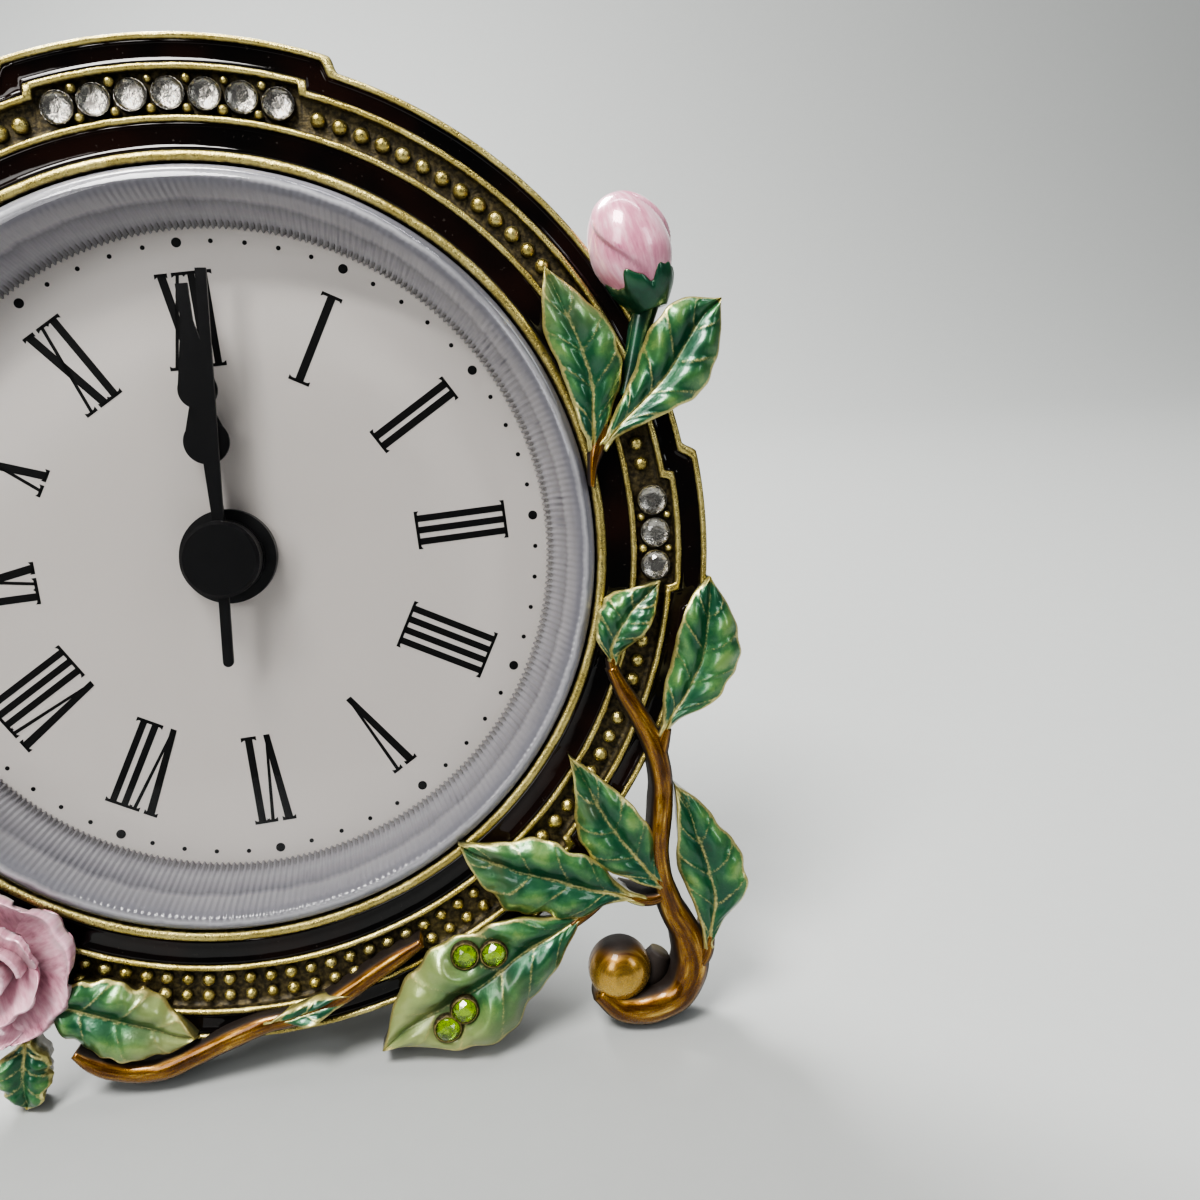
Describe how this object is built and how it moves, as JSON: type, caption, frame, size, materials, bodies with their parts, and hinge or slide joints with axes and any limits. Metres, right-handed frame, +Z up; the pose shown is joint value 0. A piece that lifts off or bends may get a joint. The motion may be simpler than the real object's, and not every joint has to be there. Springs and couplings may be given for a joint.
{
  "type": "pendulette clock",
  "caption": "Small round table clock in a jewelled openwork metal frame of leaves, rose and bud, leaning on an easel leg.",
  "frame": {"origin": "on the table, under the middle of the clock's bounding box", "axes": "+Z is up, -Y is the side that the dial faces, +X is to the right as the dial is read"},
  "size_m": [0.0894, 0.0562, 0.0864],
  "materials": {
    "gilt_casting": "antique gilt, polished on the rims",
    "gilt_leg": "satin gilt",
    "black_enamel": "glossy black enamel",
    "clear_stone": "clear, foiled",
    "green_stone": "yellow-green, foiled",
    "green_enamel": "translucent green enamel over gilt",
    "calyx_enamel": "translucent green enamel over gilt",
    "amber_enamel": "translucent amber enamel over gilt",
    "pink_enamel": "pearly pink enamel",
    "rose_enamel": "pearly pink enamel",
    "clear_plastic": "clear, polished",
    "dial_white": "satin white",
    "black_plastic": "satin black",
    "knob_plastic": "satin black",
    "grey_plastic": "satin grey",
    "wheel_plastic": "natural white",
    "steel": "plain",
    "bright_can": "bright",
    "cell_steel": "bright",
    "contact_brass": "plain",
    "copper_wire": "lacquered wire",
    "circuit_green": "satin",
    "rotor_magnet": "plain",
    "hand_black": "satin black"
  },
  "bodies": {
    "frame": {"frame_casting": "gilt_casting", "hinge_pin": "gilt_casting", "inner_enamel": "black_enamel", "outer_enamel": "black_enamel", "clear_stones": "clear_stone", "green_stones": "green_stone", "right_vine": "amber_enamel", "left_vine": "amber_enamel", "bottom_vine": "amber_enamel", "rosebud": "pink_enamel", "rose": "rose_enamel", "bud_calyx": "calyx_enamel", "crystal": "clear_plastic", "dial": "dial_white", "insert_housing": "black_plastic", "back_cover": "black_plastic", "middle_plate": "grey_plastic", "coil_bobbin": "grey_plastic", "fixing_nut": "steel", "case_screws": "steel", "stator": "steel", "coil_core": "steel", "quartz_can": "bright_can", "button_cell": "cell_steel", "cell_contacts": "contact_brass", "coil_winding": "copper_wire", "circuit_board": "circuit_green", "right_outer_leaf": "green_enamel", "right_inner_leaf": "green_enamel", "right_side_leaf": "green_enamel", "right_small_leaf": "green_enamel", "left_outer_leaf": "green_enamel", "left_inner_leaf": "green_enamel", "left_side_leaf": "green_enamel", "left_small_leaf": "green_enamel", "bridge_leaf": "green_enamel", "jewelled_leaf": "green_enamel", "bud_left_leaf": "green_enamel", "bud_right_leaf": "green_enamel", "rose_right_leaf": "green_enamel", "rose_lower_leaf": "green_enamel"},
    "leg": {"easel_leg": "gilt_leg"},
    "door": {"battery_door": "black_plastic"},
    "seconds": {"second_hand": "hand_black", "seconds_wheel": "wheel_plastic"},
    "minutes": {"minute_hand": "hand_black", "cannon_pinion": "contact_brass"},
    "hours": {"hour_hand": "hand_black", "hour_wheel": "contact_brass"},
    "reversing": {"reversing_wheel": "wheel_plastic"},
    "setting": {"setting_knob": "knob_plastic"},
    "centre": {"centre_wheel": "wheel_plastic"},
    "third": {"third_wheel": "wheel_plastic"},
    "step": {"step_wheel": "wheel_plastic"},
    "rotor": {"rotor": "rotor_magnet"}
  },
  "joints": [
    {"name": "second_spin", "type": "hinge", "parent": "frame", "child": "seconds", "pos_m": [0, -0.0105, 0.04355], "axis": [0, 0.9781, -0.2079], "continuous": true},
    {"name": "minute_spin", "type": "hinge", "parent": "frame", "child": "minutes", "pos_m": [0, -0.0105, 0.04355], "axis": [0, 0.9781, -0.2079], "continuous": true},
    {"name": "hour_spin", "type": "hinge", "parent": "frame", "child": "hours", "pos_m": [0, -0.0105, 0.04355], "axis": [0, 0.9781, -0.2079], "continuous": true},
    {"name": "reversing_spin", "type": "hinge", "parent": "frame", "child": "reversing", "pos_m": [-0.00647, -0.00984, 0.04663], "axis": [0, 0.9781, -0.2079], "continuous": true},
    {"name": "setting_spin", "type": "hinge", "parent": "frame", "child": "setting", "pos_m": [-0.01294, -0.00919, 0.04972], "axis": [0, 0.9781, -0.2079], "continuous": true},
    {"name": "centre_spin", "type": "hinge", "parent": "frame", "child": "centre", "pos_m": [0, -0.0105, 0.04355], "axis": [0, 0.9781, -0.2079], "continuous": true},
    {"name": "third_spin", "type": "hinge", "parent": "frame", "child": "third", "pos_m": [0.00063, -0.01237, 0.03476], "axis": [0, 0.9781, -0.2079], "continuous": true},
    {"name": "step_spin", "type": "hinge", "parent": "frame", "child": "step", "pos_m": [0.00597, -0.00966, 0.04748], "axis": [0, 0.9781, -0.2079], "continuous": true},
    {"name": "rotor_spin", "type": "hinge", "parent": "frame", "child": "rotor", "pos_m": [0.01061, -0.00901, 0.05055], "axis": [0, 0.9781, -0.2079], "continuous": true},
    {"name": "leg_hinge", "type": "hinge", "parent": "frame", "child": "leg", "pos_m": [0, 0.00432, 0.0772], "axis": [-1, 0, 0], "range_deg": [0, 24]},
    {"name": "door_slide", "type": "slide", "parent": "frame", "child": "door", "axis": [-0.9976, -0.0145, -0.0682], "range_m": [0, 0.0125]}
  ],
  "couplings": [
    {"joint": "hour_spin", "follows": "minute_spin", "ratio": 0.083333},
    {"joint": "reversing_spin", "follows": "minute_spin", "ratio": -0.33333},
    {"joint": "setting_spin", "follows": "minute_spin", "ratio": 1},
    {"joint": "step_spin", "follows": "second_spin", "ratio": -5},
    {"joint": "rotor_spin", "follows": "second_spin", "ratio": 30},
    {"joint": "third_spin", "follows": "second_spin", "ratio": -0.13333},
    {"joint": "centre_spin", "follows": "second_spin", "ratio": 0.016667}
  ]
}
